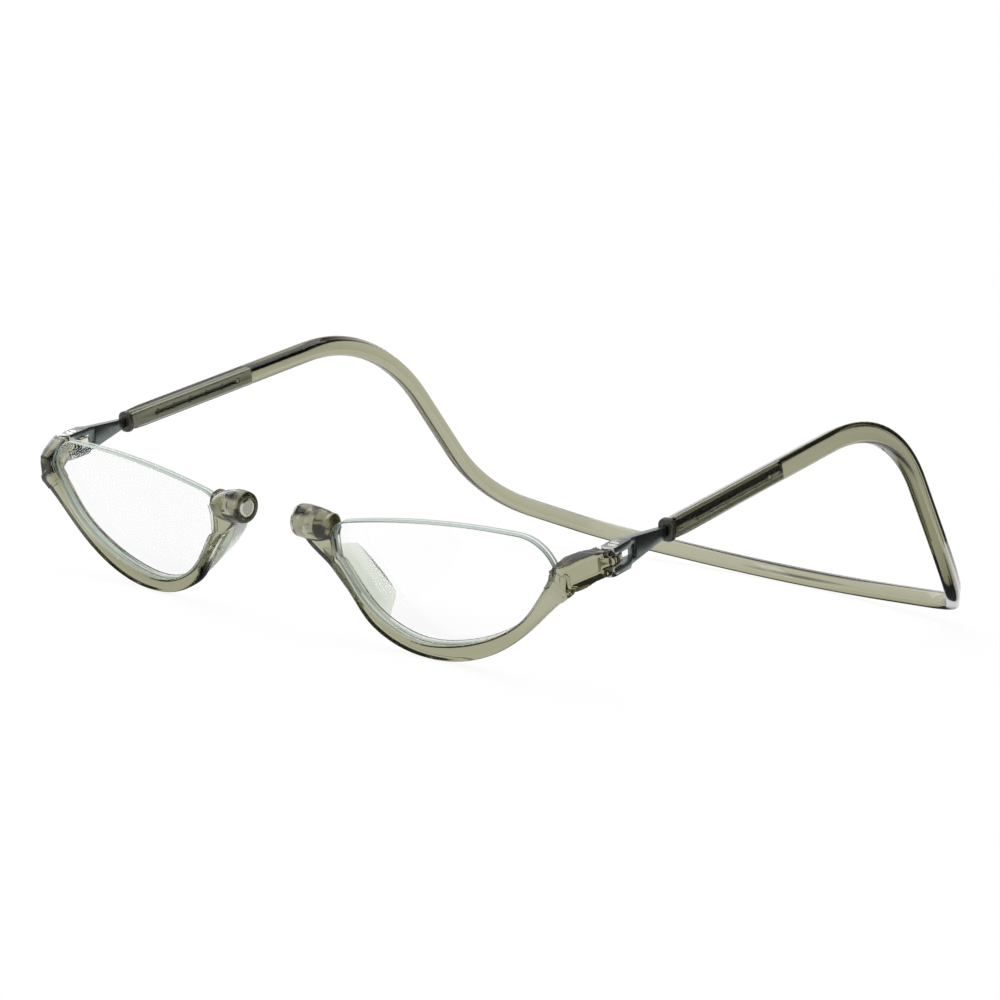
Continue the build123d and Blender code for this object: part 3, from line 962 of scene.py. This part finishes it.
NODE_FINISHES = [("slide_guide", CARTRIDGE), ("hinge_screw", STEEL), ("detent_pin", NUB),
                 ("lens_line", LINE)]
for side in ("left", "right"):
    for node, finish in NODE_FINISHES:
        dress(nodes[f"{side}_{node}"], finish)


# Camera, in metres, degrees and millimetres of lens

CAMERA_PLACE = (0.334927, -0.496624, 0.084843)
CAMERA_TURN = (83.8885, -6.9999, 36.3058)
CAMERA_LENS = 96.44
CAMERA_SENSOR = 36

bpy.ops.object.camera_add(location=CAMERA_PLACE, rotation=[radians(angle) for angle in CAMERA_TURN])
camera = bpy.context.object
camera.data.lens = CAMERA_LENS
camera.data.sensor_width = CAMERA_SENSOR
bpy.context.scene.camera = camera
bpy.context.scene.view_settings.view_transform = "Standard"


# Floor and light

# Rays off or through the pieces see the floor dark here, in metres: left of a line that slants across the
# floor, where the ray hasn't gone far from the piece. How far that is shrinks from front to back.
LINE_SLOPE = 0.674
LEFT_OF_LINE = (0.02, 0.04)
SHRINK_BACK = (0.03, 0.10)
SHRINK_REACH = (0.10, 0.008)
REACH_FADE = (0.8, 1.2)
# In reflections the floor is also dark close under a piece, and on a card past the wearer's left
UNDER_FADE = (0.010, 0.022)
CARD_ACROSS = (0.13, 0.17)
CARD_BACK = (-0.06, -0.02)
# The sky goes dark between these shares of straight up, and behind a screen: the way to it, and how far a
# direction agrees with that where the screen starts and where it is full
OVERHEAD = (0.40, 0.75)
SCREEN_WAY = (0.70, 0.71, 0.0)
SCREEN = (0.45, 0.75)
# The share of plain white in the floor that the eye sees, near the glasses and far off, and how far off
EYE_WHITE = (0.9, 1.0)
EYE_FAR = (0.16, 0.5)
# A count of bounces above this is at least one, and below it none
SOME = 0.5
# The dark parts, the light on dull pieces, and the floor's own colour, to the pieces and to the eye
WHITE = grey(1)
DARK_SKY = grey(0.05)
DARK_CARD = grey(0.06)
DULL_LIGHT = grey(0.7)
FLOOR_COLOUR = grey(0.4)
FLOOR_TO_EYE = grey(0.9)
FLOOR_GRAIN = 900.0

# Name, place, the point that it aims at, width and height in metres, and power in watts
LAMPS = [
    ("overhead softbox", (-0.15, 0.0, 0.8), (0, 0, 0.02), (1.2, 1.0), 4.5),
    ("side softbox", (-0.9, 0.2, 0.5), (0, 0, 0.02), (0.6, 0.6), 1.6),
    ("front strip", (-0.45, -0.8, 0.4), (0, -0.05, 0.02), (0.15, 0.6), 0.6),
]


def bounced_ray(tree, path):
    """1 for rays that come off a polished piece or through a clear one, and no dull one before it."""
    bounced = maths(tree, "MAXIMUM", path.outputs["Is Glossy Ray"], path.outputs["Is Transmission Ray"])
    polished = maths(tree, "LESS_THAN", path.outputs["Diffuse Depth"], SOME)
    return maths(tree, "MULTIPLY", bounced, polished)


def shaded_floor(tree, path, place):
    """How dark the floor is in reflections and through clear plastic."""
    across = axis(tree, place, "X")
    back = axis(tree, place, "Y")
    gone = path.outputs["Ray Length"]
    beside = soft_step(tree, maths(tree, "MULTIPLY_ADD", back, LINE_SLOPE, across), *LEFT_OF_LINE)
    reach = ramp(tree, back, *SHRINK_BACK, *SHRINK_REACH)
    beyond = soft_step(tree, maths(tree, "DIVIDE", gone, reach), *REACH_FADE)
    close = maths(tree, "MULTIPLY", beside, maths(tree, "SUBTRACT", 1.0, beyond))
    reflected = maths(tree, "GREATER_THAN", path.outputs["Glossy Depth"], SOME)
    under = maths(tree, "SUBTRACT", 1.0, soft_step(tree, gone, *UNDER_FADE))
    card = maths(tree, "MULTIPLY", soft_step(tree, across, *CARD_ACROSS), soft_step(tree, back, *CARD_BACK))
    mirrored_dark = maths(tree, "MULTIPLY", reflected, maths(tree, "MAXIMUM", card, under))
    return maths(tree, "MAXIMUM", close, mirrored_dark)


def white_floor():
    """Floor that the eye sees as white, with a faint shadow."""
    bpy.ops.mesh.primitive_plane_add(size=6.0)
    floor = bpy.context.object
    floor.name = "floor"
    finish, tree, shader = new_finish("White sweep", Roughness=0.9)
    place = object_place(tree)
    bump_from(tree, noise(tree, place, FLOOR_GRAIN), shader, 0.02 * MM)
    path = add_node(tree, "ShaderNodeLightPath")
    seen = path.outputs["Is Camera Ray"]
    shade = mix_colours(tree, seen, FLOOR_COLOUR, FLOOR_TO_EYE)
    tree.links.new(shade, shader.inputs["Base Color"])
    room = mix_colours(tree, shaded_floor(tree, path, place), WHITE, DARK_CARD)
    glow = add_node(tree, "ShaderNodeEmission", {"Color": room, "Strength": 1.0})
    far = add_node(tree, "ShaderNodeVectorMath", {0: place}, operation="LENGTH").outputs["Value"]
    to_eye = maths(tree, "MULTIPLY", seen, ramp(tree, far, *EYE_FAR, *EYE_WHITE))
    share = maths(tree, "MAXIMUM", bounced_ray(tree, path), to_eye)
    mixed = mix_shaders(tree, share, shader.outputs[0], glow.outputs[0])
    tree.links.new(mixed, output_of(tree).inputs["Surface"])
    dress(floor, finish)


def backdrop(tree, colour):
    return add_node(tree, "ShaderNodeBackground", {"Color": colour, "Strength": 1.0}).outputs[0]


def studio_world():
    """White to the eye. Pieces reflect white round the horizon, dark overhead and a dark screen at the
    wearer's left, and dull ones are lit by plain grey."""
    world = bpy.data.worlds.new("Studio")
    bpy.context.scene.world = world
    world.use_nodes = True
    tree = world.node_tree
    tree.nodes.clear()
    out = tree.nodes.new("ShaderNodeOutputWorld")
    path = add_node(tree, "ShaderNodeLightPath")
    way = add_node(tree, "ShaderNodeTexCoord").outputs["Generated"]
    sky = mix_colours(tree, ramp(tree, axis(tree, way, "Z"), *OVERHEAD), WHITE, DARK_SKY)
    sideways = add_node(tree, "ShaderNodeVectorMath", {0: way, 1: SCREEN_WAY}, operation="DOT_PRODUCT")
    screened = ramp(tree, sideways.outputs["Value"], *SCREEN)
    room = mix_colours(tree, screened, sky, DARK_CARD)
    lit = mix_shaders(tree, bounced_ray(tree, path), backdrop(tree, DULL_LIGHT), backdrop(tree, room))
    mixed = mix_shaders(tree, path.outputs["Is Camera Ray"], lit, backdrop(tree, WHITE))
    tree.links.new(mixed, out.inputs["Surface"])


def add_lamp(name, place, aim, size, power):
    bpy.ops.object.light_add(type="AREA", location=place)
    light = bpy.context.object
    light.name = name
    light.data.shape = "RECTANGLE"
    light.data.size, light.data.size_y = size
    light.data.energy = power
    light.visible_transmission = False
    light.rotation_euler = (Vector(aim) - Vector(place)).to_track_quat("-Z", "Y").to_euler()


white_floor()
studio_world()
for lamp in LAMPS:
    add_lamp(*lamp)
